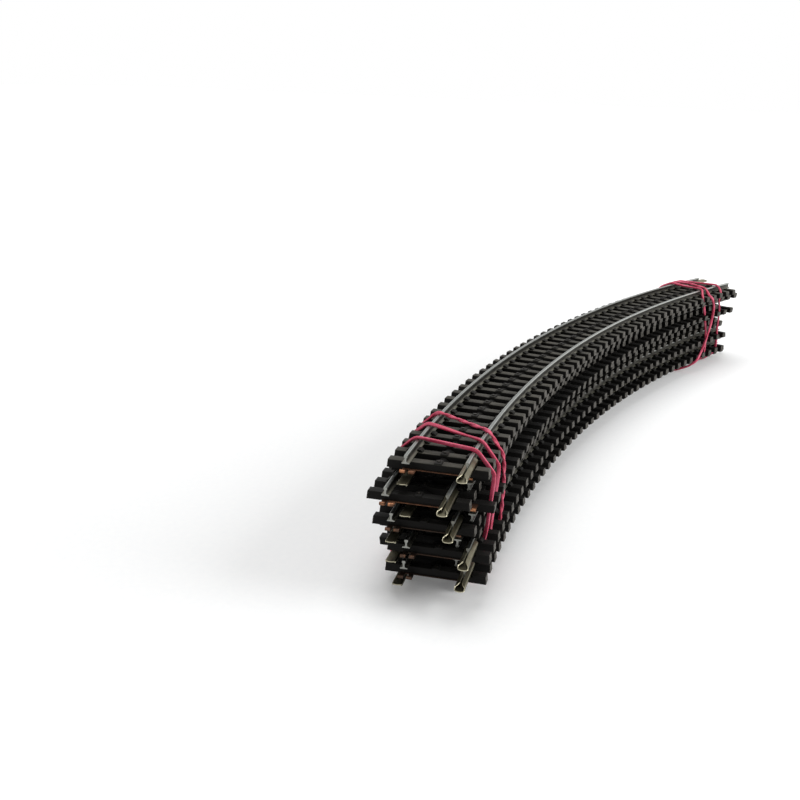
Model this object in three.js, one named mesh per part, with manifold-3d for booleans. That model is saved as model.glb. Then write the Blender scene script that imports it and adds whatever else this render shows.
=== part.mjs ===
// Ten curved model railway track sections, stacked in pairs and held by two rubber bands.
// Millimetres, +Z up, +X along the curve, +Y towards the outside of the curve.
// The stack stands on the flattened undersides of the bands, with its origin centred below it.

import * as THREE from 'three';
import { mergeGeometries, mergeVertices } from 'three/addons/utils/BufferGeometryUtils.js';
import Module from 'manifold-3d';

const wasm = await Module();
wasm.setup();

// The curve that every section follows
const curveRadius = 618.5;
const curveDegrees = 30;
const gauge = 16.5;

// Sleepers, moulded in one piece with the ridge that joins them along the middle
const sleeperCount = 44;
const sleeperLength = 29.5;
const sleeperTopWidth = 3;
const sleeperBaseWidth = 3.3;
const sleeperThickness = 2.4;
const ridgeWidth = 6;
const ridgeHeight = 1.6;
const ridgeRecess = 0.2;

// Rails, drawn in one I-shaped section
const railHeight = 2.5;
const railHeadWidth = 1;
const railHeadDepth = 0.6;
const railHeadSlope = 0.2;
const railWebWidth = 0.5;
const railFootWidth = 2.2;
const railFootEdge = 0.3;
const railFootSlope = 0.2;
const railChords = 7;

// Rail joiners, folded from sheet round the rail's foot, with lips that lean in over it
const joinerReach = 8;
const joinerGrip = 8.5;
const joinerSheet = 0.25;
const joinerClearance = 0.15;
const joinerSlotClearance = 0.1;
const joinerLipDegrees = 28;
const joinerTipSetback = 1.3;
const pocketClearance = 0.3;

// Conductor contacts, moulded into the bed: a strip with two sprung prongs at each end
const contactSheet = 0.35;
const contactStripDepth = 0.5;
const contactStripLength = 17;
const prongWidth = 1.5;
const prongSpacing = 2.5;
const prongInset = 0.75;
const prongReach = 2.7;
const prongRise = 0.7;
const contactLift = 0.15;

// The stack, from the top down: every second section lies on its back.
// A slide goes along the curve, a shift outward at mid-arc, and a skew turns the far end outward.
const stackGap = 0.1;
const layers = [
  { slide: 0, shift: 0, skew: 0 },
  { slide: 3.9, shift: 0.4, skew: 0.8 },
  { slide: -7.5, shift: 4.4, skew: 0.8 },
  { slide: 0.3, shift: -0.9, skew: 2.5 },
  { slide: -7, shift: 3.4, skew: 2.5 },
  { slide: -2.4, shift: 2.6, skew: 2.4 },
  { slide: -5.8, shift: -1.4, skew: 2.4 },
  { slide: 0.3, shift: 3, skew: 2.1 },
  { slide: -4.3, shift: -0.6, skew: 2.1 },
  { slide: 1.8, shift: 1.7, skew: 3.2 },
];

// Rubber bands, each one closed strand wound three times round the stack
const bandRadius = 0.6;
const bandClearance = 0.3;
const bandFlat = 0.5;
const bandSides = 6;
const bandSpan = 10.2;
const crossingGap = 0.9;

// Where each turn lies, counted in sleepers from the rails' end. From the end of the turn before it
// crosses the top, goes down the inner side past these shares of the stack's height, comes back
// under it and goes up the outer side past the others. A lift of 1 carries it over the strands
// that it crosses.
const innerDepths = [0, 0.0625, 0.25, 0.35, 0.65, 0.85, 1];
const outerDepths = [1, 0.9, 0.6, 0.35, 0.0625, 0];
const level = [0, 0, 0, 0, 0, 0, 0];
const nearTurns = [
  {
    inner: [1.28, 0.92, 0.92, 0.95, 1.15, 1.36, 1.27],
    innerLift: level,
    outer: [1.63, 1.8, 3.1, 4, 4, 3.65],
    outerLift: level,
  },
  {
    inner: [2.4, 1.9, 1.92, 1.95, 2.15, 2.36, 2.27],
    innerLift: level,
    outer: [2.58, 2.7, 4.1, 5, 5, 5.15],
    outerLift: level,
  },
  {
    inner: [3.48, 2.86, 3.06, 3.08, 3.15, 3.36, 3.28],
    innerLift: level,
    outer: [3.53, 3.5, 2.6, 2, 2, 1.89],
    outerLift: [0, 1, 1, 0, 0, 0],
  },
];
const farTurns = [
  {
    inner: [4.14, 5.15, 5.07, 5.01, 4.51, 4.48, 4.48],
    innerLift: level,
    outer: [3.67, 3.5, 2.9, 2.45, 2.45, 2.45],
    outerLift: [0, 0, 1, 1, 0, 0],
  },
  {
    inner: [1.63, 2.7, 2.79, 2.84, 2.84, 2.84, 2.84],
    innerLift: level,
    outer: [2.72, 2.72, 2.75, 2.84, 2.84, 2.84],
    outerLift: level,
  },
  {
    inner: [3.85, 4.33, 3.97, 3.91, 4.62, 5.57, 7.61],
    innerLift: [0, 0, 0, 0, 1, 0, 0],
    outer: [7.34, 6.96, 5.83, 4.88, 3.8, 3.56],
    outerLift: level,
  },
];

// How far a corner may move when the seams of a join are dropped
const seamTolerance = 0.001;

// Finishes
const bedPlastic = { color: 0x1e1d1c, roughness: 0.72, metalness: 0 };
const railSteel = { color: 0x9a968e, roughness: 0.35, metalness: 0.9 };
const joinerNickel = { color: 0xb9ad88, roughness: 0.35, metalness: 0.9 };
const bandRubber = { color: 0xd6455c, roughness: 0.6, metalness: 0 };

// What follows from the sizes above
const curveAngle = THREE.MathUtils.degToRad(curveDegrees);
const endStation = curveRadius * curveAngle / 2;
const sleeperAngle = curveAngle / sleeperCount;
const sleeperPitch = curveRadius * sleeperAngle;
const railOffset = (gauge + railHeadWidth) / 2;
const railEndTurn = curveAngle / railChords / 2;
const sectionHeight = sleeperThickness + railHeight;
const pairHeight = sectionHeight + sleeperThickness + 2 * stackGap;
const stackBase = 2 * bandRadius - bandFlat + bandClearance;
const pairsAbove = layers.length / 2 - 1;
const stackTop = stackBase + pairsAbove * pairHeight + 2 * sectionHeight + stackGap;

// Solids and joins

function closed(geometry) {
  geometry.deleteAttribute('normal');
  geometry.deleteAttribute('uv');
  return mergeVertices(geometry);
}

function toSolid(geometry) {
  const merged = closed(geometry);
  return new wasm.Manifold(new wasm.Mesh({
    numProp: 3,
    vertProperties: new Float32Array(merged.attributes.position.array),
    triVerts: new Uint32Array(merged.index.array),
  }));
}

// Drops the seams that joins and cuts leave across flat faces.
function seamless(solid) {
  return solid.asOriginal().simplify(seamTolerance);
}

function toGeometry(solid) {
  const mesh = solid.getMesh();
  const geometry = new THREE.BufferGeometry();
  geometry.setAttribute('position', new THREE.BufferAttribute(mesh.vertProperties, 3));
  geometry.setIndex(new THREE.BufferAttribute(mesh.triVerts, 1));
  geometry.computeVertexNormals();
  return geometry;
}

function outline(points) {
  return new THREE.Shape(points.map(([x, y]) => new THREE.Vector2(x, y)));
}

// A section's own frame has mid-arc at the origin and the sleepers' undersides at z = 0.
// This arc runs through it at a given distance outside the centreline.
class TrackArc extends THREE.Curve {
  constructor(offset, angle, height) {
    super();
    this.radius = curveRadius + offset;
    this.angle = angle;
    this.height = height;
  }

  getPoint(t, target = new THREE.Vector3()) {
    const turn = (t - 0.5) * this.angle;
    return target.set(
      this.radius * Math.sin(turn),
      this.radius * Math.cos(turn) - curveRadius,
      this.height,
    );
  }
}

// Sweeps a profile of outward and upward distances along such an arc.
function sweep(profile, arc, steps) {
  const shape = outline(profile.map(([outward, up]) => [-up, outward]));
  return closed(new THREE.ExtrudeGeometry(shape, { steps, bevelEnabled: false, extrudePath: arc }));
}

// Turns a geometry made at mid-arc to its place along the curve.
function alongCurve(geometry, angle) {
  geometry.translate(0, curveRadius, 0);
  geometry.rotateZ(-angle);
  geometry.translate(0, -curveRadius, 0);
  return geometry;
}

function box(length, width, height, x, y, z) {
  const geometry = new THREE.BoxGeometry(length, width, height);
  geometry.translate(x, y, z);
  return geometry;
}

// Sleeper bed

function sleeper(angle) {
  const base = sleeperBaseWidth / 2;
  const top = sleeperTopWidth / 2;
  const shape = outline([[-base, 0], [base, 0], [top, sleeperThickness], [-top, sleeperThickness]]);
  const geometry = new THREE.ExtrudeGeometry(shape, { depth: sleeperLength, bevelEnabled: false });
  geometry.rotateX(Math.PI / 2);
  geometry.translate(0, sleeperLength / 2, 0);
  return closed(alongCurve(geometry, angle));
}

function ridge() {
  const side = ridgeWidth / 2;
  const profile = [[-side, ridgeRecess], [side, ridgeRecess], [0, ridgeRecess + ridgeHeight]];
  const arc = new TrackArc(0, curveAngle - sleeperAngle, 0);
  return sweep(profile, arc, sleeperCount - 1);
}

// Puts a geometry that was made pointing along +X, with the rails' end at x = 0, at one end of a
// rail. The near end is -1 and the far end 1, the outer rail 1 and the inner rail -1.
function atRailEnd(geometry, end, side) {
  if (end < 0) {
    geometry.rotateZ(Math.PI);
  }
  geometry.rotateZ(end * railEndTurn);
  geometry.translate(0, side * railOffset, 0);
  return alongCurve(geometry, end * curveAngle / 2);
}

// The joiner's pocket leaves the sheet room below the rail's foot.
function joinerPocket(end, side) {
  const length = joinerGrip + pocketClearance;
  const width = railFootWidth + 2 * (joinerClearance + joinerSheet + pocketClearance);
  const depth = joinerClearance + joinerSheet + pocketClearance;
  const block = box(length, width, 2 * depth, -length / 2, 0, sleeperThickness);
  return toSolid(atRailEnd(block, end, side));
}

function prong(offset) {
  const profile = outline([
    [-contactStripDepth, 0],
    [prongReach, prongRise],
    [prongReach - contactSheet, prongRise + contactSheet],
    [-contactStripDepth, contactSheet],
  ]);
  const geometry = new THREE.ExtrudeGeometry(profile, { depth: prongWidth, bevelEnabled: false });
  geometry.rotateX(Math.PI / 2);
  geometry.translate(0, offset + prongWidth / 2, 0);
  return toSolid(geometry);
}

// The strip comes out of the end sleeper's front and runs from the bare rail towards the other.
function contact(end, side) {
  const front = (sleeperPitch - sleeperBaseWidth) / 2 - contactStripDepth;
  const inward = -end * side;
  const stripCentre = inward * (contactStripLength - prongSpacing - prongWidth) / 2;
  const strip = box(
    2 * contactStripDepth,
    contactStripLength,
    contactSheet,
    -contactStripDepth,
    stripCentre,
    contactSheet / 2,
  );
  const fork = toSolid(strip).add(prong(prongSpacing / 2)).add(prong(-prongSpacing / 2));
  const geometry = toGeometry(fork);
  geometry.translate(-front, inward * prongInset, contactLift);
  return toSolid(atRailEnd(geometry, end, side));
}

function sleeperBed() {
  const sleepers = [];
  for (let i = 0; i < sleeperCount; i += 1) {
    sleepers.push(sleeper((i + 0.5) * sleeperAngle - curveAngle / 2));
  }
  const bed = toSolid(mergeGeometries(sleepers)).add(toSolid(ridge()));
  const cut = bed.subtract(joinerPocket(-1, -1)).subtract(joinerPocket(1, 1));
  return toGeometry(seamless(cut.add(contact(-1, 1)).add(contact(1, -1))));
}

// Rails

function rail(side) {
  const foot = railFootWidth / 2;
  const web = railWebWidth / 2;
  const head = railHeadWidth / 2;
  const headBase = railHeight - railHeadDepth;
  const half = [
    [foot, 0],
    [foot, railFootEdge],
    [web, railFootEdge + railFootSlope],
    [web, headBase - railHeadSlope],
    [head, headBase],
    [head, railHeight],
  ];
  const mirrored = half.map(([outward, up]) => [-outward, up]).reverse();
  const arc = new TrackArc(side * railOffset, curveAngle, sleeperThickness);
  return sweep([...half, ...mirrored], arc, railChords);
}

// Rail joiners

// Cuts the outer end on a slant, so that the floor reaches past the lips.
function slantTip(geometry, low, high) {
  const { position } = geometry.attributes;
  for (let i = 0; i < position.count; i += 1) {
    if (position.getX(i) > 0) {
      const share = (position.getZ(i) - low) / (high - low);
      position.setX(i, position.getX(i) - share * joinerTipSetback);
    }
  }
}

function joiner(end, side) {
  const foot = railFootWidth / 2;
  const inside = foot + joinerClearance;
  const outside = inside + joinerSheet;
  const floor = -joinerClearance;
  const base = floor - joinerSheet;
  const slot = railWebWidth / 2 + joinerSlotClearance;
  const lean = THREE.MathUtils.degToRad(joinerLipDegrees);
  const under = (outward) => railFootEdge + joinerClearance + (foot - outward) * Math.tan(lean);
  const over = (outward) => under(outward) + joinerSheet / Math.cos(lean);
  const half = [
    [outside, base],
    [outside, over(outside)],
    [slot, over(slot)],
    [slot, under(slot)],
    [inside, under(inside)],
    [inside, floor],
  ];
  const mirrored = half.map(([outward, up]) => [-outward, up]).reverse();
  const length = joinerGrip + joinerReach;
  const geometry = new THREE.ExtrudeGeometry(outline([...half, ...mirrored]), {
    depth: length,
    bevelEnabled: false,
  });
  geometry.rotateX(Math.PI / 2);
  geometry.rotateZ(Math.PI / 2);
  geometry.translate(-joinerGrip, 0, 0);
  slantTip(geometry, base, over(slot));
  geometry.translate(0, 0, sleeperThickness);
  return closed(atRailEnd(geometry, end, side));
}

// Stack

function sectionName(index) {
  return `section_${String(index + 1).padStart(2, '0')}`;
}

function piece(name, geometry, finish) {
  const mesh = new THREE.Mesh(geometry, new THREE.MeshStandardMaterial({ ...finish, flatShading: true }));
  mesh.name = name;
  return mesh;
}

const shapes = {
  sleeper_bed: [sleeperBed(), bedPlastic],
  outer_rail: [rail(1), railSteel],
  inner_rail: [rail(-1), railSteel],
  outer_joiner: [joiner(1, 1), joinerNickel],
  inner_joiner: [joiner(-1, -1), joinerNickel],
};

// The height of a section's sleeper undersides: a pair lies back to back.
function undersideHeight(index) {
  const pair = Math.floor(index / 2);
  const upright = stackTop - pair * pairHeight - sectionHeight;
  return index % 2 === 0 ? upright : upright - stackGap;
}

// A place on the stack's own arc, at a station along it and a distance outside it.
function onArc(station, outward, height) {
  const angle = station / curveRadius;
  const radius = curveRadius + outward;
  return new THREE.Vector3(radius * Math.sin(angle), radius * Math.cos(angle) - curveRadius, height);
}

function sectionPlace(index) {
  const layer = layers[index];
  const place = new THREE.Group();
  place.position.copy(onArc(layer.slide, layer.shift, undersideHeight(index)));
  place.rotation.z = layer.skew / (2 * endStation) - layer.slide / curveRadius;
  place.updateMatrixWorld(true);
  return place;
}

function section(index) {
  const place = sectionPlace(index);
  const turned = new THREE.Group();
  turned.rotation.y = index % 2 === 0 ? 0 : Math.PI;
  for (const [name, [geometry, finish]] of Object.entries(shapes)) {
    turned.add(piece(`${sectionName(index)}_${name}`, geometry, finish));
  }
  place.add(turned);
  return place;
}

// Where a section's own arc passes a station: how far outside the stack's arc, and how far along
// the section that is.
function passing(index, station) {
  const local = sectionPlace(index).worldToLocal(onArc(station, 0, 0));
  const radius = Math.hypot(local.x, local.y + curveRadius);
  return { outward: curveRadius - radius, along: curveRadius * Math.atan2(local.x, local.y + curveRadius) };
}

// Rubber bands

function interpolate(x, xs, ys) {
  const rising = xs[xs.length - 1] > xs[0];
  let i = 1;
  while (i < xs.length - 1 && (rising ? x > xs[i] : x < xs[i])) {
    i += 1;
  }
  const share = THREE.MathUtils.clamp((x - xs[i - 1]) / (xs[i] - xs[i - 1]), 0, 1);
  return THREE.MathUtils.lerp(ys[i - 1], ys[i], share);
}

// Whether a section has a sleeper within reach of a strand that runs between two stations.
function meetsSleeper(index, stations) {
  const reach = sleeperBaseWidth / 2 + bandRadius + bandClearance;
  const places = stations.map((station) => passing(index, station).along + endStation);
  const first = Math.max(Math.ceil((Math.min(...places) - reach) / sleeperPitch - 0.5), 0);
  const last = Math.min(Math.floor((Math.max(...places) + reach) / sleeperPitch - 0.5), sleeperCount - 1);
  return first <= last;
}

// The corners that a strand can bear on: the rails, and the sleeper ends that it meets at its own
// place along the curve. Elsewhere it drops into the sleepers' gaps, but not where it is lifted
// over other strands.
function bearings(stationAt, liftAt) {
  const corners = [];
  layers.forEach((_, index) => {
    const up = index % 2 === 0 ? 1 : -1;
    const underside = undersideHeight(index);
    const sleeperTop = underside + up * sleeperThickness;
    const railTop = sleeperTop + up * railHeight;
    for (const side of [-1, 1]) {
      const justClear = sleeperTop + up * (bandRadius + bandClearance);
      const stations = [stationAt(side, justClear), stationAt(side, underside)];
      const { outward } = passing(index, stations[1]);
      corners.push([outward + side * (railOffset + railHeadWidth / 2), railTop]);
      corners.push([outward + side * (railOffset + railFootWidth / 2), sleeperTop]);
      if (liftAt(side, underside) > 0 || meetsSleeper(index, stations)) {
        const tip = outward + side * sleeperLength / 2;
        corners.push([tip, underside], [tip, sleeperTop]);
      }
    }
  });
  return corners;
}

function cross(a, b, c) {
  return (b[0] - a[0]) * (c[1] - a[1]) - (b[1] - a[1]) * (c[0] - a[0]);
}

function halfHull(points) {
  const hull = [];
  for (const point of points) {
    while (hull.length > 1 && cross(hull[hull.length - 2], hull[hull.length - 1], point) <= 0) {
      hull.pop();
    }
    hull.push(point);
  }
  return hull.slice(0, -1);
}

// The taut outline round the corners, anticlockwise from the outer end of the top.
function tautOutline(corners) {
  const sorted = [...corners].sort((a, b) => a[0] - b[0] || a[1] - b[1]);
  const hull = [...halfHull(sorted), ...halfHull([...sorted].reverse())];
  const top = Math.max(...hull.map(([, z]) => z));
  const start = hull.findIndex(([r, z]) => z > top - bandClearance && r > 0);
  return [...hull.slice(start), ...hull.slice(0, start)];
}

function edgeNormal(from, to) {
  const length = Math.hypot(to[0] - from[0], to[1] - from[1]);
  return [(to[1] - from[1]) / length, (from[0] - to[0]) / length];
}

// Points of the strand's centre line round the outline, each with its outward normal.
function strandOutline(hull) {
  const distance = bandRadius + bandClearance;
  const sharpTurn = Math.PI / 4;
  const points = [];
  hull.forEach((corner, i) => {
    const before = edgeNormal(hull.at(i - 1), corner);
    const after = edgeNormal(corner, hull[(i + 1) % hull.length]);
    const turn = Math.acos(THREE.MathUtils.clamp(before[0] * after[0] + before[1] * after[1], -1, 1));
    const normals = turn > sharpTurn ? [before, after] : [[before[0] + after[0], before[1] + after[1]]];
    const stretch = turn > sharpTurn ? 1 : 1 / Math.cos(turn / 2);
    for (const [nr, nz] of normals) {
      const size = Math.hypot(nr, nz);
      const normal = [nr / size, nz / size];
      const r = corner[0] + normal[0] * distance * stretch;
      const z = corner[1] + normal[1] * distance * stretch;
      points.push({ r, z, normal });
    }
  });
  return points;
}

function divided(points) {
  const result = [];
  points.forEach((point, i) => {
    const next = points[(i + 1) % points.length];
    const parts = Math.ceil(Math.hypot(next.r - point.r, next.z - point.z) / bandSpan);
    for (let part = 0; part < parts; part += 1) {
      const share = part / parts;
      const normal = [0, 1].map((k) => THREE.MathUtils.lerp(point.normal[k], next.normal[k], share));
      const size = Math.hypot(...normal);
      result.push({
        r: THREE.MathUtils.lerp(point.r, next.r, share),
        z: THREE.MathUtils.lerp(point.z, next.z, share),
        normal: normal.map((value) => value / size),
      });
    }
  });
  return result;
}

// One turn as points with a place along the curve, from where the turn before it ends.
function turnPoints(end, turn, before) {
  const height = stackTop - stackBase;
  const onSide = (side, z, inner, outer) => {
    const depth = (stackTop - z) / height;
    return side < 0 ? interpolate(depth, innerDepths, inner) : interpolate(depth, outerDepths, outer);
  };
  const inStation = (sleepers) => end * (endStation - sleepers * sleeperPitch);
  const stationAt = (side, z) => inStation(onSide(side, z, turn.inner, turn.outer));
  const liftAt = (side, z) => onSide(side, z, turn.innerLift, turn.outerLift);
  const loop = divided(strandOutline(tautOutline(bearings(stationAt, liftAt))));
  const above = loop.filter(({ z }) => z > stackTop + bandRadius);
  const below = loop.filter(({ z }) => z < stackBase - bandRadius);
  const inward = (point, run, from, to) => {
    const outer = Math.max(...run.map(({ r }) => r));
    const inner = Math.min(...run.map(({ r }) => r));
    return inStation(THREE.MathUtils.mapLinear(point.r, outer, inner, from, to));
  };
  return loop.map((point) => {
    const side = Math.sign(point.r);
    let station = stationAt(side, point.z);
    let lift = 0;
    if (above.includes(point)) {
      station = inward(point, above, before.outer.at(-1), turn.inner[0]);
    } else if (below.includes(point)) {
      station = inward(point, below, turn.outer[0], turn.inner.at(-1));
    } else {
      lift = liftAt(side, point.z);
    }
    const raised = lift * (2 * bandRadius + crossingGap);
    return {
      station,
      r: point.r + point.normal[0] * raised,
      z: point.z + point.normal[1] * raised,
      normal: point.normal,
    };
  });
}

// A closed tube through the points, with its rings square to the strand.
function strandTube(points) {
  const centres = points.map(({ station, r, z }) => onArc(station, r, z));
  const positions = [];
  const indices = [];
  const count = points.length;
  points.forEach(({ station, normal }, i) => {
    const angle = station / curveRadius;
    const ahead = centres[(i + 1) % count].clone().sub(centres[i]).normalize();
    const behind = centres[i].clone().sub(centres.at(i - 1)).normalize();
    const along = ahead.add(behind).normalize();
    const outward = new THREE.Vector3(normal[0] * Math.sin(angle), normal[0] * Math.cos(angle), normal[1]);
    const across = new THREE.Vector3().crossVectors(along, outward).normalize();
    const up = new THREE.Vector3().crossVectors(across, along);
    for (let side = 0; side < bandSides; side += 1) {
      const turn = side / bandSides * 2 * Math.PI;
      const corner = centres[i].clone()
        .addScaledVector(up, bandRadius * Math.cos(turn))
        .addScaledVector(across, bandRadius * Math.sin(turn));
      positions.push(corner.x, corner.y, corner.z);
      const right = (side + 1) % bandSides;
      const ring = i * bandSides;
      const nextRing = (i + 1) % count * bandSides;
      indices.push(ring + side, nextRing + right, nextRing + side);
      indices.push(ring + side, ring + right, nextRing + right);
    }
  });
  const geometry = new THREE.BufferGeometry();
  geometry.setAttribute('position', new THREE.Float32BufferAttribute(positions, 3));
  geometry.setIndex(indices);
  return { geometry, centres };
}

// The least gap between stretches of the strand that lie further apart along it than twice
// the length in which it can bend round a corner, measured on points a set step apart.
function leastGap(centres) {
  const step = 0.5;
  const apart = 12;
  const samples = [];
  let run = 0;
  centres.forEach((centre, i) => {
    const next = centres[(i + 1) % centres.length];
    const length = centre.distanceTo(next);
    for (let along = 0; along < length; along += step) {
      samples.push({ run: run + along, at: centre.clone().lerp(next, along / length) });
    }
    run += length;
  });
  let least = Infinity;
  for (const a of samples) {
    for (const b of samples) {
      const between = Math.abs(a.run - b.run);
      if (Math.min(between, run - between) > apart) {
        least = Math.min(least, a.at.distanceTo(b.at));
      }
    }
  }
  return least - 2 * bandRadius;
}

function rubberBand(name, end, turns) {
  const points = turns.flatMap((turn, i) => turnPoints(end, turn, turns.at(i - 1)));
  const { geometry, centres } = strandTube(points);
  console.log(`${name}: least gap of the strand to itself ${leastGap(centres).toFixed(2)} mm`);
  const width = 2 * sleeperLength;
  const below = box(4 * endStation, 4 * endStation, width, 0, 0, -width / 2);
  return piece(name, toGeometry(seamless(toSolid(geometry).subtract(toSolid(below)))), bandRubber);
}

// Assembly, moved so that the origin is under the middle of the whole
const stack = new THREE.Group();
layers.forEach((layer, index) => stack.add(section(index)));
stack.add(rubberBand('near_rubber_band', -1, nearTurns));
stack.add(rubberBand('far_rubber_band', 1, farTurns));
stack.updateMatrixWorld(true);
const middle = new THREE.Box3().setFromObject(stack, true).getCenter(new THREE.Vector3());
stack.position.set(-middle.x, -middle.y, 0);

export default stack;
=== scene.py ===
"""The looks of ten curved model railway track sections, stacked in pairs and held by two rubber
bands. Sizes are in millimetres and turned to metres where a mesh or a pattern is made."""

import math

import bmesh
import bpy
from mathutils import Matrix, Vector


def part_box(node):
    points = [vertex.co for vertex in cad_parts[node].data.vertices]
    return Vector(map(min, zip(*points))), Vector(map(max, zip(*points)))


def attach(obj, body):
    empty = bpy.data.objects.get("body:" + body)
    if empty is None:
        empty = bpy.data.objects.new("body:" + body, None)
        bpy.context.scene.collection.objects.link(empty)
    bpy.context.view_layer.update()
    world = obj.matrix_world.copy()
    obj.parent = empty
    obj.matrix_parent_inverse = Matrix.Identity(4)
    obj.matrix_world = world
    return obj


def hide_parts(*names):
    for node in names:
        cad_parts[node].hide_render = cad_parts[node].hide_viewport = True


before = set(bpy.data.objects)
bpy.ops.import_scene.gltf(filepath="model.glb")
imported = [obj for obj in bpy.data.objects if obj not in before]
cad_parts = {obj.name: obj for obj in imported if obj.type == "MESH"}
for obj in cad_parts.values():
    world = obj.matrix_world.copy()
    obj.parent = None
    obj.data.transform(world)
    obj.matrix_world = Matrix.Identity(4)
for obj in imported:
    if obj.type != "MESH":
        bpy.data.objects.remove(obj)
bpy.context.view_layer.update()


# Sleeper beds
# The black base of one section, injection moulded in one piece in polystyrene, with a chair on
# both sides of each rail. A ridge along the middle covers the conductor and joins the sleepers.

mm = 0.001
curve_radius = 618.5
curve_angle = math.radians(30)
end_station = curve_radius * curve_angle / 2
sleeper_count = 44
sleeper_pitch = curve_radius * curve_angle / sleeper_count
sleeper_length = 29.5
sleeper_thickness = 2.4
sleeper_base_width = 3.3
sleeper_top_width = 3.0
sleeper_rounding = 0.13
sleeper_end_draft = 0.25
ridge_half_width = 3.0
ridge_top_half_width = 0.4
ridge_low = 0.2
ridge_high = 1.8
web_half_width = 0.6
web_low = 0.4
web_high = 2.3
rail_offset = 8.75
rail_foot_width = 2.2
chair_half_length = 1.2
chair_rounding = 0.12
boss_half_width = 1.1
boss_half_length = 1.62
boss_height = 0.42
boss_sunk = 0.3
boss_rounding = 0.3
pocket_half_width = 1.85
pocket_depth = 0.75

# The stack from the top down. A slide goes along the curve, a shift outward at mid-arc, and a
# skew turns the far end outward. Every second section lies on its back below the one before.
section_layers = [
    (0.0, 0.0, 0.0),
    (3.9, 0.4, 0.8),
    (-7.5, 4.4, 0.8),
    (0.3, -0.9, 2.5),
    (-7.0, 3.4, 2.5),
    (-2.4, 2.6, 2.4),
    (-5.8, -1.4, 2.4),
    (0.3, 3.0, 2.1),
    (-4.3, -0.6, 2.1),
    (1.8, 1.7, 3.2),
]
pair_height = 7.5
top_underside = 36.0
back_gap = 0.1

# The first section lies square in the stack, so its outer rail shows where the stack's arc is.
rail_low, rail_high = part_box("section_01_outer_rail")
inmost_rail_edge = curve_radius + rail_offset - rail_foot_width / 2
stack_shift = Vector((
    (rail_low.x + rail_high.x) / 2,
    rail_low.y - (inmost_rail_edge * math.cos(curve_angle / 2) - curve_radius) * mm,
    0,
))


def on_curve(along, outward, up):
    """A place along the centreline, outside it and above the sleepers' undersides, as a point."""
    turn = along / curve_radius
    radius = curve_radius + outward
    return Vector((
        radius * math.sin(turn) * mm,
        (radius * math.cos(turn) - curve_radius) * mm,
        up * mm,
    ))


def rounded_prism(profile, half_length_at, rounding, segments=2):
    """Points and faces of a profile of (outward, up) drawn out along the track both ways, with its
    edges rounded. half_length_at(up) is how far it reaches each way at that height."""
    made = bmesh.new()
    near, far = [], []
    for outward, up in profile:
        half_length = half_length_at(up)
        near.append(made.verts.new((-half_length, outward, up)))
        far.append(made.verts.new((half_length, outward, up)))
    made.faces.new(near)
    made.faces.new(list(reversed(far)))
    for i in range(len(profile)):
        j = (i + 1) % len(profile)
        made.faces.new((near[j], near[i], far[i], far[j]))
    bmesh.ops.recalc_face_normals(made, faces=made.faces)
    bmesh.ops.bevel(
        made, geom=list(made.edges), offset=rounding, segments=segments, profile=0.5,
        affect="EDGES", clamp_overlap=True,
    )
    made.verts.index_update()
    points = [tuple(v.co) for v in made.verts]
    faces = [[v.index for v in face.verts] for face in made.faces]
    made.free()
    return points, faces


def moved(shape, along=0.0, outward=0.0, up=0.0):
    points, faces = shape
    return [(x + along, y + outward, z + up) for x, y, z in points], faces


def mirrored_outward(shape):
    points, faces = shape
    return [(x, -y, z) for x, y, z in points], [list(reversed(face)) for face in faces]


def ring_walls(rings, size, closed=False):
    """The faces between rings of points, from each to the next, and from the last to the first of
    a closed line."""
    faces = []
    for ring in range(rings if closed else rings - 1):
        here, ahead = ring * size, (ring + 1) % rings * size
        for i in range(size):
            j = (i + 1) % size
            faces.append([here + i, here + j, ahead + j, ahead + i])
    return faces


def drawn_along(profile, stations):
    """Points and faces of a closed profile of (outward, up) drawn through stations of the track."""
    points = [(along, outward, up) for along in stations for outward, up in profile]
    size = len(profile)
    near_end = list(reversed(range(size)))
    far_end = list(range(len(points) - size, len(points)))
    return points, [*ring_walls(len(stations), size), near_end, far_end]


def smooth_mesh(name, shapes, in_place, maps, sharp_degrees):
    """One mesh of several shapes, with its points where in_place puts them. Each of its maps holds
    two lengths in metres, worked out from the point as the shape gives it."""
    points, faces = [], []
    for shape_points, shape_faces in shapes:
        first = len(points)
        points.extend(shape_points)
        faces.extend([[first + i for i in face] for face in shape_faces])
    mesh = bpy.data.meshes.new(name)
    mesh.from_pydata([in_place(*point) for point in points], [], faces)
    for map_name, lengths in maps.items():
        layer = mesh.uv_layers.new(name=map_name)
        for loop in mesh.loops:
            u, v = lengths(*points[loop.vertex_index])
            layer.data[loop.index].uv = (u * mm, v * mm)
    mesh.update()
    mesh.polygons.foreach_set("use_smooth", [True] * len(mesh.polygons))
    mesh.set_sharp_from_angle(angle=math.radians(sharp_degrees))
    return mesh


def track_mesh(name, shapes, sharp_degrees=40):
    """A mesh of shapes given as (along, outward, up). One map holds how far along and how far round
    the track each point lies, so that grain can follow the curve, and the other how far out and
    up, so that wear can follow the shape."""
    maps = {
        "grain": lambda along, outward, up: (along, outward + up),
        "across": lambda along, outward, up: (outward, up),
    }
    return smooth_mesh(name, shapes, on_curve, maps, sharp_degrees)


half_sleeper = sleeper_length / 2
pocket_floor = sleeper_thickness - pocket_depth
pocket_left = -rail_offset - pocket_half_width
pocket_right = -rail_offset + pocket_half_width


def sleeper_half_width(up):
    share = up / sleeper_thickness
    return (sleeper_base_width + (sleeper_top_width - sleeper_base_width) * share) / 2


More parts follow.
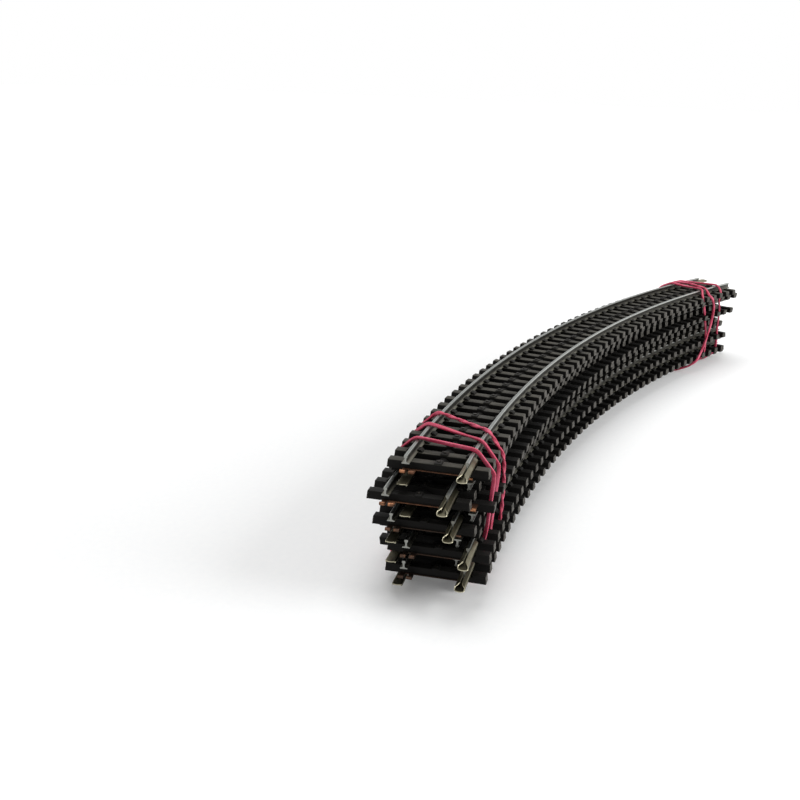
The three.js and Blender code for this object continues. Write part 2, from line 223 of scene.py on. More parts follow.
def sleeper(cut=()):
    """A sleeper with drafted ends and rounded edges. A cut is the points of a recess in its top."""
    profile = [
        (-half_sleeper, 0), (half_sleeper, 0),
        (half_sleeper - sleeper_end_draft, sleeper_thickness),
        *cut,
        (-half_sleeper + sleeper_end_draft, sleeper_thickness),
    ]
    return rounded_prism(profile, sleeper_half_width, sleeper_rounding, 3)


plain_sleeper = sleeper()
pocketed_sleeper = sleeper([
    (pocket_right, sleeper_thickness), (pocket_right, pocket_floor),
    (pocket_left, pocket_floor), (pocket_left, sleeper_thickness),
])
# A chair stands on the sleeper's top and closes over the edge of the rail's foot. Its profile is
# given from the rail's middle and the sleeper's top.
chair = rounded_prism(
    [
        (1.16, -0.15), (2.55, -0.15), (2.35, 0.42), (1.8, 0.82), (1.02, 0.86),
        (0.74, 0.7), (0.74, 0.46), (1.16, 0.36),
    ],
    lambda up: chair_half_length, chair_rounding,
)
boss = rounded_prism(
    [
        (-boss_half_width, -boss_sunk), (boss_half_width, -boss_sunk),
        (boss_half_width, boss_height), (-boss_half_width, boss_height),
    ],
    lambda up: boss_half_length, boss_rounding, 3,
)

sleeper_middles = [
    (number + 0.5) * sleeper_pitch - end_station for number in range(sleeper_count)
]
bed_shapes = []
for number, middle in enumerate(sleeper_middles):
    if number == 0:
        bed_shapes.append(moved(pocketed_sleeper, middle))
    elif number == sleeper_count - 1:
        bed_shapes.append(moved(mirrored_outward(pocketed_sleeper), middle))
    else:
        bed_shapes.append(moved(plain_sleeper, middle))
    bed_shapes.append(moved(boss, middle, 0, sleeper_thickness))
    if 0 < number < sleeper_count - 1:
        for side in (-1, 1):
            for facing in (chair, mirrored_outward(chair)):
                bed_shapes.append(moved(facing, middle, side * rail_offset, sleeper_thickness))
# The ridge runs from the first sleeper's middle to the last one's, in steps of half a pitch.
ridge_steps = 2 * sleeper_count - 2
ridge_length = 2 * end_station - sleeper_pitch
ridge_stations = [(step / ridge_steps - 0.5) * ridge_length for step in range(ridge_steps + 1)]
bed_shapes.append(drawn_along(
    [
        (-ridge_half_width, ridge_low), (ridge_half_width, ridge_low),
        (ridge_top_half_width, ridge_high), (-ridge_top_half_width, ridge_high),
    ],
    ridge_stations,
))
# A web under each rail joins all the sleepers but the two at the ends.
for side in (-1, 1):
    web_in = side * rail_offset - web_half_width
    web_out = side * rail_offset + web_half_width
    bed_shapes.append(drawn_along(
        [(web_in, web_low), (web_out, web_low), (web_out, web_high), (web_in, web_high)],
        ridge_stations[2:-2],
    ))
bed_mesh = track_mesh("sleeper_bed", bed_shapes)


def linear(hex_colour):
    """An sRGB hex colour as the linear one that a shader takes."""
    channels = [int(hex_colour[i:i + 2], 16) / 255 for i in (1, 3, 5)]
    return (*[c / 12.92 if c <= 0.04045 else ((c + 0.055) / 1.055) ** 2.4 for c in channels], 1)


def repeats(size_mm):
    """The scale at which a pattern on coordinates in metres repeats every so many millimetres."""
    return 1 / (size_mm * mm)


def new_material(name):
    material = bpy.data.materials.new(name)
    material.use_nodes = True
    return material


def add_node(material, kind, sockets, gives=None, **settings):
    """Adds a node with its settings, fills or links its inputs, and returns the named output. A new
    material has its principled shader already, and a new world its background."""
    nodes = material.node_tree.nodes
    ready_made = kind in ("Principled BSDF", "Background")
    made = nodes[kind] if ready_made else nodes.new(f"ShaderNode{kind}")
    for name, value in settings.items():
        setattr(made, name, value)
    for name, value in sockets.items():
        socket = made.inputs[name] if isinstance(name, int) else next(
            s for s in made.inputs if s.enabled and s.name == name
        )
        if isinstance(value, bpy.types.NodeSocket):
            material.node_tree.links.new(value, socket)
        else:
            socket.default_value = value
    return next((s for s in made.outputs if s.enabled and gives in (None, s.name)), None)


# The top colours are a painted sheen on the top section and painted shade on those below it, and
# the grey is a painted highlight on the sleepers' ends.
moulded_black = "#121110"
end_highlight_grey = "#5c5954"
painted_sheen_top = "#66635b"
painted_shade_top = "#191816"


def black_polystyrene(name, top_sheen_colour):
    """Black polystyrene, moulded in a spark-eroded tool: matt, with a fine grain along each
    sleeper. The sleepers' tops are lightened towards the given colour as a painted sheen, and their
    ends are lightened in patches as a painted highlight."""
    material = new_material(name)
    track_map = add_node(material, "UVMap", {}, uv_map="grain")
    across_map = add_node(material, "UVMap", {}, uv_map="across")
    bed_place = add_node(material, "TexCoord", {}, "Object")
    # The grain changes every 0.4 mm across a sleeper and every 5 mm along it.
    grain_place = add_node(material, "Mapping", {
        "Vector": track_map, "Scale": (repeats(0.4), repeats(5), 1),
    })
    grain = add_node(material, "TexNoise", {
        "Vector": grain_place, "Scale": 1, "Detail": 4, "Roughness": 0.6,
    })
    blotches = add_node(material, "TexNoise", {
        "Vector": bed_place, "Scale": repeats(7), "Detail": 3, "Roughness": 0.55,
    })
    # Real spark erosion is finer than 0.1 mm, which wouldn't show, so it is drawn coarser.
    spark_texture = add_node(material, "TexNoise", {
        "Vector": bed_place, "Scale": repeats(0.35), "Detail": 2, "Roughness": 0.6,
    })
    # Only the sleepers' flat tops are lightened, as a painted sheen. The bosses and chairs
    # above them and the sides stay black.
    bed_height = add_node(material, "SeparateXYZ", {"Vector": across_map}, "Y")
    sheen_from = add_node(material, "MapRange", {
        "Value": bed_height,
        "From Min": (sleeper_thickness - 0.25) * mm, "From Max": (sleeper_thickness - 0.02) * mm,
    })
    sheen_to = add_node(material, "MapRange", {
        "Value": bed_height, "From Min": (sleeper_thickness + 0.02) * mm,
        "From Max": (sleeper_thickness + 0.1) * mm, "To Min": 1, "To Max": 0.15,
    })
    painted_top_sheen = add_node(material, "Math", {0: sheen_from, 1: sheen_to}, operation="MULTIPLY")
    patchy_top_sheen = add_node(material, "Math", {0: painted_top_sheen, 1: blotches}, operation="MULTIPLY")
    bed_colour = add_node(material, "Mix", {
        "Factor": patchy_top_sheen, "A": linear(moulded_black), "B": linear(top_sheen_colour),
    }, data_type="RGBA")
    grain_shade = add_node(material, "MapRange", {
        "Value": grain, "From Min": 0.35, "From Max": 0.65, "To Max": 0.7,
    })
    grained_colour = add_node(material, "Mix", {
        "Factor": grain_shade, "A": bed_colour, "B": linear(moulded_black),
    }, data_type="RGBA")
    # The end faces lean in by the draft, so they begin a little inside the sleeper's full length.
    bed_outward = add_node(material, "SeparateXYZ", {"Vector": across_map}, "X")
    bed_reach = add_node(material, "Math", {0: bed_outward}, operation="ABSOLUTE")
    end_faces = add_node(material, "MapRange", {
        "Value": bed_reach,
        "From Min": (half_sleeper - 0.34) * mm, "From Max": (half_sleeper - 0.26) * mm,
    })
    # The end faces are lightened in patches as a painted highlight from the soft box on the right.
    highlight_patches = add_node(material, "TexNoise", {
        "Vector": bed_place, "Scale": repeats(1.1), "Detail": 3, "Roughness": 0.65,
    })
    highlight_cover = add_node(material, "MapRange", {
        "Value": highlight_patches, "From Min": 0.32, "From Max": 0.62, "To Min": 0.1,
    })
    painted_end_highlight = add_node(material, "Math", {0: end_faces, 1: highlight_cover}, operation="MULTIPLY")
    end_highlit_colour = add_node(material, "Mix", {
        "Factor": painted_end_highlight, "A": grained_colour, "B": linear(end_highlight_grey),
    }, data_type="RGBA")
    bed_roughness = add_node(material, "MapRange", {
        "Value": blotches, "From Min": 0.3, "From Max": 0.7, "To Min": 0.5, "To Max": 0.64,
    })
    sparked = add_node(material, "Bump", {
        "Height": spark_texture, "Strength": 0.25, "Distance": 0.04 * mm,
    })
    grained = add_node(material, "Bump", {
        "Height": grain, "Normal": sparked, "Strength": 0.5, "Distance": 0.08 * mm,
    })
    # White lies all round the stack, and at full reflection it would turn the black to grey.
    add_node(material, "Principled BSDF", {
        "Base Color": end_highlit_colour, "Roughness": bed_roughness, "Normal": grained, "IOR": 1.59,
        "Specular IOR Level": 0.06,
    })
    return material


# The top section's sleepers' tops are painted grey as a sheen where the light falls. The
# sections below, shaded by those above, keep painted black tops. All the sleepers' ends carry a
# painted highlight.
top_lit_polystyrene = black_polystyrene("black_polystyrene_painted_sheen", painted_sheen_top)
shaded_polystyrene = black_polystyrene("black_polystyrene_painted_shade", painted_shade_top)


def new_object(name, data):
    made = bpy.data.objects.new(name, data)
    bpy.context.scene.collection.objects.link(made)
    return made


def section_piece(index, name, mesh, material, node=None):
    """Puts one of a section's pieces in its place in the stack. One that the CAD has too names the
    node that it replaces."""
    slide, shift, skew = section_layers[index]
    upright = index % 2 == 0
    underside = top_underside - index // 2 * pair_height - (0 if upright else back_gap)
    turn = skew / (2 * end_station) - slide / curve_radius
    placed = mesh.copy()
    placed.transform(Matrix.Rotation(turn if upright else -turn, 4, "Z"))
    placed.materials.append(material)
    section_name = f"section_{index + 1:02d}"
    piece = new_object(f"{section_name}_{name}", placed)
    in_stack = Matrix.Translation(on_curve(slide, shift, underside) + stack_shift)
    on_its_back = Matrix.Rotation(0 if upright else math.pi, 4, "Y")
    piece.matrix_world = in_stack @ on_its_back
    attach(piece, "root")
    if node:
        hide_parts(f"{section_name}_{node}")


for index in range(len(section_layers)):
    polystyrene = top_lit_polystyrene if index == 0 else shaded_polystyrene
    section_piece(index, "bed", bed_mesh, polystyrene, "sleeper_bed")


# Centre studs
# The steel points that carry the current, one in the boss of each sleeper. They are pressed
# through from the strip below and blackened, and their tips carry a painted highlight.

stud_radius = 0.55
stud_height = 0.3
stud_sides = 14
boss_top = sleeper_thickness + boss_height
# The dome as rings of (share of the radius, share of the height over the boss)
stud_rings = [(1, -0.1), (1, 0.3), (0.86, 0.68), (0.5, 0.92)]


def domed_stud(middle):
    """A stud in the boss of the sleeper whose middle is given."""
    points = []
    for width_share, height_share in stud_rings:
        radius, up = stud_radius * width_share, boss_top + height_share * stud_height
        for step in range(stud_sides):
            turn = 2 * math.pi * step / stud_sides
            points.append((middle + radius * math.cos(turn), radius * math.sin(turn), up))
    top_ring = len(points) - stud_sides
    tip = len(points)
    points.append((middle, 0, boss_top + stud_height))
    underside = list(reversed(range(stud_sides)))
    crown = [
        [top_ring + step, top_ring + (step + 1) % stud_sides, tip] for step in range(stud_sides)
    ]
    return points, [underside, *ring_walls(len(stud_rings), stud_sides), *crown]


stud_mesh = track_mesh("centre_studs", [domed_stud(middle) for middle in sleeper_middles], 50)

# Blackened mild steel, tumbled: dark brown-grey oxide with a painted highlight on each stud's tip.
blackened_steel = new_material("blackened_steel_stud")
stud_place = add_node(blackened_steel, "TexCoord", {}, "Object")
stud_level = add_node(blackened_steel, "SeparateXYZ", {"Vector": stud_place}, "Z")
oxide = add_node(blackened_steel, "TexNoise", {
    "Vector": stud_place, "Scale": repeats(0.6), "Detail": 3, "Roughness": 0.6,
})
painted_tip_highlight = add_node(blackened_steel, "MapRange", {
    "Value": stud_level, "From Min": (boss_top + 0.24) * mm,
    "From Max": (boss_top + stud_height) * mm, "To Max": 0.8,
})
patchy_tip_highlight = add_node(blackened_steel, "Math", {0: painted_tip_highlight, 1: oxide}, operation="MULTIPLY")
stud_colour = add_node(blackened_steel, "Mix", {
    "Factor": patchy_tip_highlight, "A": linear("#191715"), "B": linear("#5d5953"),
}, data_type="RGBA")
stud_roughness = add_node(blackened_steel, "MapRange", {
    "Value": oxide, "From Min": 0.3, "From Max": 0.7, "To Min": 0.35, "To Max": 0.55,
})
add_node(blackened_steel, "Principled BSDF", {
    "Base Color": stud_colour, "Roughness": stud_roughness, "Metallic": 1,
})

for index in range(len(section_layers)):
    section_piece(index, "studs", stud_mesh, blackened_steel)


# Conductor contacts
# The ends of the strip under each bed, stamped from copper sheet. Each has an edge along the
# front of the end sleeper and two sprung prongs, curled at their tips, under the bare rail.

contact_sheet = 0.2
contact_lift = 0.15
contact_strip_proud = 0.5
contact_strip_length = 17.0
prong_width = 1.5
prong_spacing = 2.5
prong_inset = 0.75
prong_reach = 3.2
prong_root = 0.4
prong_flat = 0.3
prong_dip_length = 0.5
prong_dip = 0.1
curl_radius = 0.42
curl_steps = 10
curl_step = math.radians(24)


def at_rail_end(x, y, z, end, side):
    """Puts a point of (beyond the end, to its left, up), seen looking out along a rail, at that
    rail's end. The near end is -1 and the far end 1, the outer rail 1 and the inner rail -1."""
    if end < 0:
        x, y = -x, -y
    y += side * rail_offset + curve_radius
    turn = -end * curve_angle / 2
    return Vector((
        (x * math.cos(turn) - y * math.sin(turn)) * mm,
        (x * math.sin(turn) + y * math.cos(turn) - curve_radius) * mm,
        z * mm,
    ))


def end_mesh(name, shapes, end, side, sharp_degrees=40):
    """A mesh of shapes made at a rail's end, with their lengths and their girths in its map."""
    return smooth_mesh(
        name, shapes, lambda x, y, z: at_rail_end(x, y, z, end, side),
        {"grain": lambda x, y, z: (x, y + z)}, sharp_degrees,
    )


def bent_strip(path, width, middle, thickness):
    """A strip of sheet bent along a path of (out, up), as wide as given and square at its ends."""
    points = []
    for i, (x, z) in enumerate(path):
        x0, z0 = path[max(i - 1, 0)]
        x1, z1 = path[min(i + 1, len(path) - 1)]
        length = math.hypot(x1 - x0, z1 - z0)
        nx, nz = -(z1 - z0) / length * thickness / 2, (x1 - x0) / length * thickness / 2
        for across, way in ((-1, -1), (1, -1), (1, 1), (-1, 1)):
            points.append((x + nx * way, middle + across * width / 2, z + nz * way))
    # The corners go round the other way than a track profile's, so the walls are turned over.
    walls = [list(reversed(face)) for face in ring_walls(len(path), 4)]
    last = len(points) - 4
    return points, [*walls, [0, 1, 2, 3], [last + 3, last + 2, last + 1, last]]


def contact_shapes(end, side):
    """The strip's edge, and two prongs that dip a little and curl up and back at their tips."""
    front = (sleeper_pitch - sleeper_base_width) / 2 - contact_strip_proud
    inward = -end * side
    strip_inset = prong_inset + (contact_strip_length - prong_spacing - prong_width) / 2
    middle_up = contact_lift + contact_sheet / 2
    edge = bent_strip(
        [(-front - 2 * contact_strip_proud, middle_up), (-front, middle_up)],
        contact_strip_length, inward * strip_inset, contact_sheet,
    )
    curl_low = middle_up - prong_dip
    curl_start = -front + prong_reach - curl_radius
    prong_path = [
        (-front - prong_root, middle_up), (-front + prong_flat, middle_up),
        (-front + prong_flat + prong_dip_length, curl_low),
    ]
    for step in range(curl_steps):
        turn = step * curl_step - math.pi / 2
        prong_path.append((
            curl_start + curl_radius * math.cos(turn),
            curl_low + curl_radius * (1 + math.sin(turn)),
        ))
    prongs = [
        bent_strip(
            prong_path, prong_width, inward * prong_inset + way * prong_spacing / 2, contact_sheet,
        )
        for way in (-1, 1)
    ]
    return [edge, *prongs]


near_contact_mesh = end_mesh("near_contact", contact_shapes(-1, 1), -1, 1)
far_contact_mesh = end_mesh("far_contact", contact_shapes(1, -1), 1, -1)


def copper_sheet(name, brown, tip_colour):
    """Copper sheet, stamped and left bare: the strip has gone brown under the sleeper, and only
    the curled tips, which rub on the next section's, keep some of their colour in patches."""
    material = new_material(name)
    copper_map = add_node(material, "UVMap", {}, uv_map="grain")
    copper_place = add_node(material, "TexCoord", {}, "Object")
    copper_reach = add_node(material, "SeparateXYZ", {"Vector": copper_map}, "X")
    # The tarnish comes in patches of 3 mm. The noise's fourth dimension gives each section its own.
    copper_luck = add_node(material, "ObjectInfo", {}, "Random")
    copper_pattern = add_node(material, "Math", {0: copper_luck, 1: 50}, operation="MULTIPLY")
    tarnish = add_node(material, "TexNoise", {
        "Vector": copper_place, "W": copper_pattern, "Scale": repeats(3), "Detail": 3,
        "Roughness": 0.6,
    }, noise_dimensions="4D")
    bare_spots = add_node(material, "MapRange", {
        "Value": tarnish, "From Min": 0.45, "From Max": 0.65, "To Min": 0.1,
    })
    rubbed_reach = add_node(material, "MapRange", {
        "Value": copper_reach, "From Min": -1.4 * mm, "From Max": 0.6 * mm, "To Min": 0.25,
    })
    rubbed = add_node(material, "Math", {0: bare_spots, 1: rubbed_reach}, operation="MULTIPLY")
    copper_colour = add_node(material, "Mix", {
        "Factor": rubbed, "A": linear(brown), "B": linear(tip_colour),
    }, data_type="RGBA")
    copper_roughness = add_node(material, "MapRange", {
        "Value": rubbed, "To Min": 0.55, "To Max": 0.3,
    })
    # Rolling marks are drawn 0.3 mm wide, because the real ones are too fine to show.
    rolling_marks = add_node(material, "TexNoise", {
        "Vector": copper_place, "Scale": repeats(0.3),
    })
    rolled = add_node(material, "Bump", {
        "Height": rolling_marks, "Strength": 0.2, "Distance": 0.02 * mm,
    })
    add_node(material, "Principled BSDF", {
        "Base Color": copper_colour, "Roughness": copper_roughness, "Normal": rolled, "Metallic": 1,
    })
    return material


# The contacts of the top four sections are lighter at their tips, and those lower down are
# darker all over.
upper_copper = copper_sheet("upper_copper_sheet", "#4c372c", "#b37c5a")
lower_copper = copper_sheet("lower_copper_sheet", "#372f2a", "#6e5040")
upper_copper_sections = 4

for index in range(len(section_layers)):
    copper = upper_copper if index < upper_copper_sections else lower_copper
    section_piece(index, "near_contact", near_contact_mesh, copper)
    section_piece(index, "far_contact", far_contact_mesh, copper)


# Rails
# Flat-bottomed rail of nickel-plated steel, drawn through a die and curved. It is threaded
# through the chairs from the end of the bed, and both its ends are cut square.

rail_height = 2.5
rail_head_width = 1.0
rail_head_depth = 0.6
rail_head_slope = 0.2
rail_web_width = 0.5
rail_foot_edge = 0.3
rail_foot_slope = 0.22
rail_top = sleeper_thickness + rail_height
rail_steps = 96
rail_stations = [(2 * step / rail_steps - 1) * end_station for step in range(rail_steps + 1)]


def rounded_corner(corner, before, after, radius, steps=2):
    """Points of (outward, up) that round a corner of a profile."""
    c, a, b = Vector(corner), Vector(before) - Vector(corner), Vector(after) - Vector(corner)
    a, b = a.normalized() * min(radius, a.length / 2), b.normalized() * min(radius, b.length / 2)
    made = []
    for i in range(steps + 1):
        t = i / steps
        made.append(tuple(c + a * (1 - t) ** 2 + b * t ** 2))
    return made


def rail_profile(side):
    foot, web, head = rail_foot_width / 2, rail_web_width / 2, rail_head_width / 2
    head_base = rail_height - rail_head_depth
    # Each corner as (outward, up, radius), from the foot to the running top
    half = [
        (foot, 0, 0.05), (foot, rail_foot_edge, 0.1), (web, rail_foot_edge + rail_foot_slope, 0.25),
        (web, head_base - rail_head_slope, 0.2), (head, head_base, 0.06), (head, rail_height, 0.22),
    ]
    whole = half + [(-x, z, radius) for x, z, radius in reversed(half)]
    made = []
    for i, (x, z, radius) in enumerate(whole):
        before, after = whole[i - 1][:2], whole[(i + 1) % len(whole)][:2]
        made.extend(rounded_corner((x, z), before, after, radius))
    return [(side * rail_offset + x, sleeper_thickness + z) for x, z in made]


def rail_mesh(name, side):
    return track_mesh(name, [drawn_along(rail_profile(side), rail_stations)], 35)


outer_rail_mesh = rail_mesh("outer_rail", 1)
inner_rail_mesh = rail_mesh("inner_rail", -1)

# Nickel-plated steel, drawn and then run on: the head is grey with a painted highlight along its
# corners, the web is painted dark as shade under the head, the foot is a dull yellow-grey, and
# the cut ends are bare.
plated_rail = new_material("nickel_plated_rail_steel")
rail_map = add_node(plated_rail, "UVMap", {}, uv_map="grain")
rail_across_map = add_node(plated_rail, "UVMap", {}, uv_map="across")
rail_place = add_node(plated_rail, "TexCoord", {}, "Object")
# The die lines are drawn 0.12 mm apart, coarser than real ones so that they show, and change
# every 30 mm along the rail.
line_place = add_node(plated_rail, "Mapping", {
    "Vector": rail_map, "Scale": (repeats(30), repeats(0.12), 1),
})
die_lines = add_node(plated_rail, "TexNoise", {
    "Vector": line_place, "Scale": 1, "Detail": 3, "Roughness": 0.6,
})
dulling = add_node(plated_rail, "TexNoise", {
    "Vector": rail_place, "Scale": repeats(5), "Detail": 4, "Roughness": 0.6,
})
rail_level = add_node(plated_rail, "SeparateXYZ", {"Vector": rail_across_map}, "Y")
running_top = add_node(plated_rail, "MapRange", {
    "Value": rail_level,
    "From Min": (rail_top - rail_head_depth) * mm, "From Max": (rail_top - 0.15) * mm,
})
rail_outward = add_node(plated_rail, "SeparateXYZ", {"Vector": rail_across_map}, "X")
rail_distance = add_node(plated_rail, "Math", {0: rail_outward}, operation="ABSOLUTE")
off_middle = add_node(plated_rail, "Math", {
    0: rail_distance, 1: rail_offset * mm,
}, operation="SUBTRACT")
from_middle = add_node(plated_rail, "Math", {0: off_middle}, operation="ABSOLUTE")
# The head's corners are lightened as a painted highlight.
head_corners = add_node(plated_rail, "MapRange", {
    "Value": from_middle, "From Min": 0.26 * mm, "From Max": 0.42 * mm,
})
painted_corner_highlight = add_node(plated_rail, "Math", {
    0: head_corners, 1: running_top,
}, operation="MULTIPLY")
rail_along = add_node(plated_rail, "SeparateXYZ", {"Vector": rail_map}, "X")
rail_reach = add_node(plated_rail, "Math", {0: rail_along}, operation="ABSOLUTE")
cut_ends = add_node(plated_rail, "MapRange", {
    "Value": rail_reach,
    "From Min": (end_station - 0.03) * mm, "From Max": (end_station - 0.01) * mm,
})
foot_level = add_node(plated_rail, "MapRange", {
    "Value": rail_level, "From Min": (sleeper_thickness + 0.4) * mm,
    "From Max": (sleeper_thickness + 0.6) * mm, "To Min": 1, "To Max": 0,
})
# The web's dark colour is painted shade under the head.
web_shade_colour = add_node(plated_rail, "Mix", {
    "Factor": dulling, "A": linear("#2c2b29"), "B": linear("#57554f"),
}, data_type="RGBA")
side_colour = add_node(plated_rail, "Mix", {
    "Factor": foot_level, "A": web_shade_colour, "B": linear("#66645a"),
}, data_type="RGBA")
run_colour = add_node(plated_rail, "Mix", {
    "Factor": running_top, "A": side_colour, "B": linear("#747774"),
}, data_type="RGBA")
corner_highlight_colour = add_node(plated_rail, "Mix", {
    "Factor": painted_corner_highlight, "A": run_colour, "B": linear("#aeb0ab"),
}, data_type="RGBA")
rail_colour = add_node(plated_rail, "Mix", {
    "Factor": cut_ends, "A": corner_highlight_colour, "B": linear("#8b8c87"),
}, data_type="RGBA")
rail_roughness = add_node(plated_rail, "MapRange", {
    "Value": running_top, "To Min": 0.5, "To Max": 0.33,
})
lined = add_node(plated_rail, "Bump", {
    "Height": die_lines, "Strength": 0.25, "Distance": 0.02 * mm,
})
add_node(plated_rail, "Principled BSDF", {
    "Base Color": rail_colour, "Roughness": rail_roughness, "Normal": lined, "Metallic": 1,
})

for index in range(len(section_layers)):
    for node, mesh in (("outer_rail", outer_rail_mesh), ("inner_rail", inner_rail_mesh)):
        section_piece(index, f"{node}_drawn", mesh, plated_rail, node)


# Rail joiners
# One on the left-hand rail at each end, seen looking outward. Each is folded from nickel silver
# sheet into a trough that grips the rail's foot, with lips that open towards a rounded tip.

joiner_reach = 8.0
joiner_grip = 8.5
joiner_sheet = 0.25
joiner_clearance = 0.15
joiner_half_width = rail_foot_width / 2 + joiner_clearance + joiner_sheet
joiner_low = -joiner_clearance - joiner_sheet
joiner_fold_height = 0.55
joiner_lip_height = 1.13
joiner_slot_half_width = 0.35
joiner_bend = 0.3
joiner_steps = 30
joiner_crowding = 1.6
tip_rounding = 1.15
tip_bluntness = 0.96
lip_start = 0.92
lip_setback = 0.75
lip_end_length = 1.7
lip_bluntness = 0.99
# Shares of the half floor and of the lip where points of their own let the tip come out round
floor_shares = (0, 0.35, 0.62)
lip_shares = (0.4, 0.55, 0.7, 0.82, 0.92, 1)


def folded_sheet():
    """The sheet's section, as its outer and inner line, from the left lip round to the right."""
    half, low = joiner_half_width, joiner_low
    fold, lip = (half, joiner_fold_height), (joiner_slot_half_width, joiner_lip_height)
    right = [
        *[(half * share, low) for share in floor_shares],
        *rounded_corner((half, low), (0, low), fold, joiner_bend, 5),
        *rounded_corner(fold, (half, low), lip, joiner_bend, 5),
        *[tuple(Vector(fold).lerp(Vector(lip), share)) for share in lip_shares],
    ]
    outer = [(-y, z) for y, z in reversed(right)] + right[1:]
    inner = []
    for i, (y, z) in enumerate(outer):
        before, after = outer[max(i - 1, 0)], outer[min(i + 1, len(outer) - 1)]
        along = Vector((after[0] - before[0], after[1] - before[1])).normalized()
        inner.append((y - along.y * joiner_sheet, z + along.x * joiner_sheet))
    return outer, inner


def tip_setback(y, z):
    """How far behind the tip the sheet ends: a round floor, then a D-shaped end on each lip."""
    lip_root = joiner_fold_height - joiner_bend
    if z < lip_root:
        across = min(1, abs(y) / joiner_half_width)
        return tip_rounding * (1 - math.sqrt(1 - across ** 2 * tip_bluntness))
    rise = min(1, (z - lip_root) / (joiner_lip_height - lip_root))
    lip_end = lip_end_length * (1 - math.sqrt(1 - (lip_bluntness * rise) ** 2))
    return lip_start + lip_setback * rise + lip_end


def joiner_mesh(name, end, side):
    """Rings of the folded sheet from the end inside the chairs to the rounded tip."""
    outer, inner = folded_sheet()
    closed = outer + list(reversed(inner))
    setbacks = [tip_setback(y, z) for y, z in outer]
    setbacks += list(reversed(setbacks))
    length = joiner_grip + joiner_reach
    points = []
    for step in range(joiner_steps + 1):
        # The rings crowd together towards the tip.
        share = 1 - (1 - step / joiner_steps) ** joiner_crowding
        for (y, z), setback in zip(closed, setbacks):
            points.append((-joiner_grip + share * (length - setback), y, z + sleeper_thickness))
    size = len(closed)
    faces = ring_walls(joiner_steps + 1, size)
    last = joiner_steps * size
    for k in range(len(outer) - 1):
        across = size - 1 - k
        faces.append([k, across, across - 1, k + 1])
        faces.append([last + k + 1, last + across - 1, last + across, last + k])
    mesh = end_mesh(name, [(points, faces)], end, side, 50)
    # A second map is 1 on the sheet's sheared edges, along the lips and round the tip, where a
    # painted highlight goes.
    edge_map = mesh.uv_layers.new(name="painted_edge_highlight")
    walls = joiner_steps * size
    for polygon in mesh.polygons:
        along_a_lip = polygon.index % size in (len(outer) - 1, size - 1)
        if along_a_lip or polygon.index >= walls:
            for loop_index in polygon.loop_indices:
                edge_map.data[loop_index].uv = (1, 0)
    return mesh


outer_joiner_mesh = joiner_mesh("outer_joiner", 1, 1)
inner_joiner_mesh = joiner_mesh("inner_joiner", -1, -1)

# Nickel silver sheet, folded in a press: yellow-grey metal, dulled by handling, with soft
# scratches along the trough and a painted highlight on the sheared edges that draws its outline.
nickel_silver = new_material("folded_nickel_silver")
joiner_map = add_node(nickel_silver, "UVMap", {}, uv_map="grain")
joiner_place = add_node(nickel_silver, "TexCoord", {}, "Object")
# The scratches are about 6 mm long, and 0.25 mm apart, coarser than real ones so that they show.
scratch_place = add_node(nickel_silver, "Mapping", {
    "Vector": joiner_map, "Scale": (repeats(6), repeats(0.25), 1),
})
scratches = add_node(nickel_silver, "TexNoise", {
    "Vector": scratch_place, "Scale": 1, "Detail": 3, "Roughness": 0.6,
})
handling = add_node(nickel_silver, "TexNoise", {
    "Vector": joiner_place, "Scale": repeats(3), "Detail": 4, "Roughness": 0.6,
})
sheet_colour = add_node(nickel_silver, "Mix", {
    "Factor": handling, "A": linear("#4d493a"), "B": linear("#938e76"),
}, data_type="RGBA")
edge_place = add_node(nickel_silver, "UVMap", {}, uv_map="painted_edge_highlight")
painted_edge_highlight = add_node(nickel_silver, "SeparateXYZ", {"Vector": edge_place}, "X")
# The sheared edges are lightened as a painted highlight.
joiner_colour = add_node(nickel_silver, "Mix", {
    "Factor": painted_edge_highlight, "A": sheet_colour, "B": linear("#a8a38d"),
}, data_type="RGBA")
joiner_roughness = add_node(nickel_silver, "MapRange", {
    "Value": handling, "From Min": 0.3, "From Max": 0.7, "To Min": 0.42, "To Max": 0.28,
})
scratched = add_node(nickel_silver, "Bump", {
    "Height": scratches, "Strength": 0.3, "Distance": 0.02 * mm,
})
add_node(nickel_silver, "Principled BSDF", {
    "Base Color": joiner_colour, "Roughness": joiner_roughness, "Normal": scratched, "Metallic": 1,
})

for index in range(len(section_layers)):
    for node, mesh in (("outer_joiner", outer_joiner_mesh), ("inner_joiner", inner_joiner_mesh)):
        section_piece(index, f"{node}_folded", mesh, nickel_silver, node)


# Rubber bands
# Two household bands, cut from an extruded rubber tube, each stretched three times round the
# stack. The strand is a flat strip that has turned over in places as it was wound.

band_bend = 1.6
band_bend_limit = 0.45
band_bend_steps = 4
band_step = 0.55
band_corners = 16
band_squareness = 0.55
band_girth = 3.6
stack_middle = 20.0
# The strip sways by an angle and swells by a share of its width, both in waves round the band.
sway = 0.9
sway_waves = 5
swell_share = 0.05
swell_waves = 17
# The last turn starts as a tight rope: where, and how far on, as shares of the band's length
rope_from = 0.66
rope_share = 0.2

